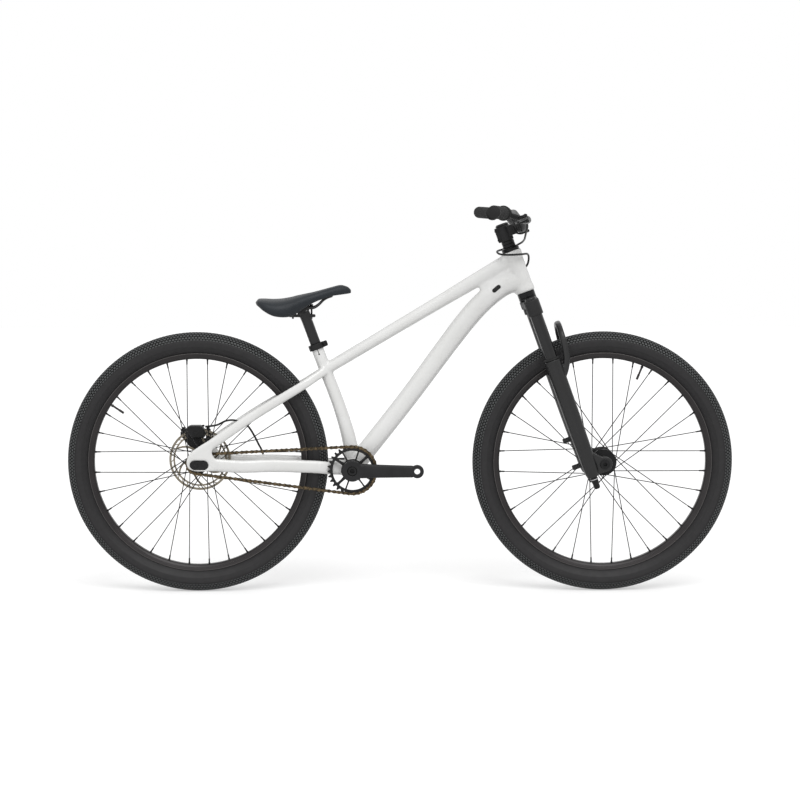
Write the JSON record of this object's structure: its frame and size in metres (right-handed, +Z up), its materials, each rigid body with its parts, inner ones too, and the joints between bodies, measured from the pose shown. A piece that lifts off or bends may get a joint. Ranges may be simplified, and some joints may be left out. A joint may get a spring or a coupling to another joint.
{
  "type": "dirt jump bike",
  "caption": "Dirt jump bike with a rigid sloping frame, suspension fork, fat knobbly tyres, single-speed chain drive, rear disc brake, low saddle and wide risen handlebar.",
  "frame": {"origin": "on the ground, midway between the two axles in the bike's middle plane", "axes": "+X forward, +Z up, and the drive side at -Y"},
  "size_m": [1.711, 0.766, 0.9906],
  "materials": {
    "frame_paint": "gloss white",
    "black_alloy": "satin black",
    "fork_black": "satin black",
    "rubber": "matt",
    "tyre": "matt black",
    "saddle": "dark slate",
    "shell": "matt black",
    "bright_steel": "ground",
    "bronze_steel": "dark bronze",
    "black_steel": "black",
    "grey_alloy": "satin grey"
  },
  "bodies": {
    "frame": {"frame": "frame_paint", "rear_axle": "black_alloy", "cable_port_left": "rubber", "cable_port_right": "rubber", "brake_caliper": "black_alloy", "caliper_bracket": "black_alloy", "brake_pads": "black_steel", "rear_brake_hose": "rubber", "chain": "bronze_steel", "seat_collar": "black_alloy", "seat_collar_bolt": "black_steel", "headset_lower_cup": "black_alloy", "headset_upper_cup": "black_alloy", "headset_lower_bearing": "bright_steel", "headset_upper_bearing": "bright_steel", "bottom_bracket_cup_left": "black_alloy", "bottom_bracket_cup_right": "black_alloy"},
    "fork_upper": {"crown_race": "black_steel", "headset_top_cover": "black_alloy", "headset_spacer_lower": "black_alloy", "headset_spacer_upper": "black_alloy", "fork_crown_steerer": "black_alloy", "stanchion_left": "black_alloy", "stanchion_right": "black_alloy", "stem": "black_alloy", "stem_faceplate": "black_alloy", "steerer_top_cap": "black_alloy", "handlebar": "black_alloy", "grip_left": "rubber", "grip_right": "rubber", "brake_lever_body": "grey_alloy", "brake_lever_pin": "black_steel", "front_brake_hose": "rubber"},
    "brake_lever": {"brake_lever_blade": "black_alloy"},
    "fork_lower": {"fork_lowers": "fork_black", "fork_wiper_left": "rubber", "fork_wiper_right": "rubber", "front_axle": "grey_alloy"},
    "front_wheel": {"front_tyre": "tyre", "front_inner_tube": "rubber", "front_rim": "black_alloy", "front_valve": "black_alloy", "front_hub": "black_alloy"},
    "rear_wheel": {"rear_tyre": "tyre", "rear_inner_tube": "rubber", "rear_rim": "black_alloy", "rear_valve": "black_alloy", "rear_hub": "black_alloy", "brake_rotor": "bright_steel"},
    "rear_cog": {"drive_cog": "black_steel"},
    "cranks": {"crank_spindle": "grey_alloy", "crank_arm_right": "black_alloy", "crank_arm_left": "black_alloy", "chainring": "black_alloy"},
    "post": {"seatpost": "black_alloy"},
    "saddle": {"saddle_clamp_lower": "black_alloy", "saddle_clamp_upper": "black_alloy", "saddle_rails": "black_steel", "saddle_shell": "shell", "saddle_cover": "saddle"}
  },
  "joints": [
    {"name": "steering", "type": "hinge", "parent": "frame", "child": "fork_upper", "pos_m": [0.32095, 0, 0.77119], "axis": [-0.3387, 0, 0.9409], "range_deg": [-90, 90], "deforming": ["front_brake_hose"]},
    {"name": "fork_travel", "type": "slide", "parent": "fork_upper", "child": "fork_lower", "axis": [-0.3387, 0, 0.9409], "range_m": [0, 0.1], "stiffness_N_per_m": 6000, "springref_m": -0.01},
    {"name": "front_wheel_spin", "type": "hinge", "parent": "fork_lower", "child": "front_wheel", "pos_m": [0.5205, 0, 0.335], "axis": [0, 1, 0], "continuous": true},
    {"name": "rear_wheel_spin", "type": "hinge", "parent": "frame", "child": "rear_wheel", "pos_m": [-0.5205, 0, 0.335], "axis": [0, 1, 0], "continuous": true},
    {"name": "crank_spin", "type": "hinge", "parent": "frame", "child": "cranks", "pos_m": [-0.12244, 0, 0.3186], "axis": [0, 1, 0], "continuous": true, "deforming": ["chain"]},
    {"name": "cog_spin", "type": "hinge", "parent": "frame", "child": "rear_cog", "pos_m": [-0.5205, 0, 0.335], "axis": [0, 1, 0], "continuous": true},
    {"name": "brake_lever_pull", "type": "hinge", "parent": "fork_upper", "child": "brake_lever", "pos_m": [0.30627, -0.22224, 0.95916], "axis": [0.3387, 0, -0.9409], "range_deg": [0, 15], "stiffness_Nm_per_rad": 0.6, "springref_deg": -17.19},
    {"name": "seatpost_slide", "type": "slide", "parent": "frame", "child": "post", "axis": [-0.342, 0, 0.9397], "range_m": [-0.035, 0.035]},
    {"name": "saddle_tilt", "type": "hinge", "parent": "post", "child": "saddle", "pos_m": [-0.25039, 0, 0.73218], "axis": [0, 1, 0], "range_deg": [-5, 5]}
  ],
  "couplings": [
    {"joint": "cog_spin", "follows": "crank_spin", "ratio": 2.5}
  ]
}
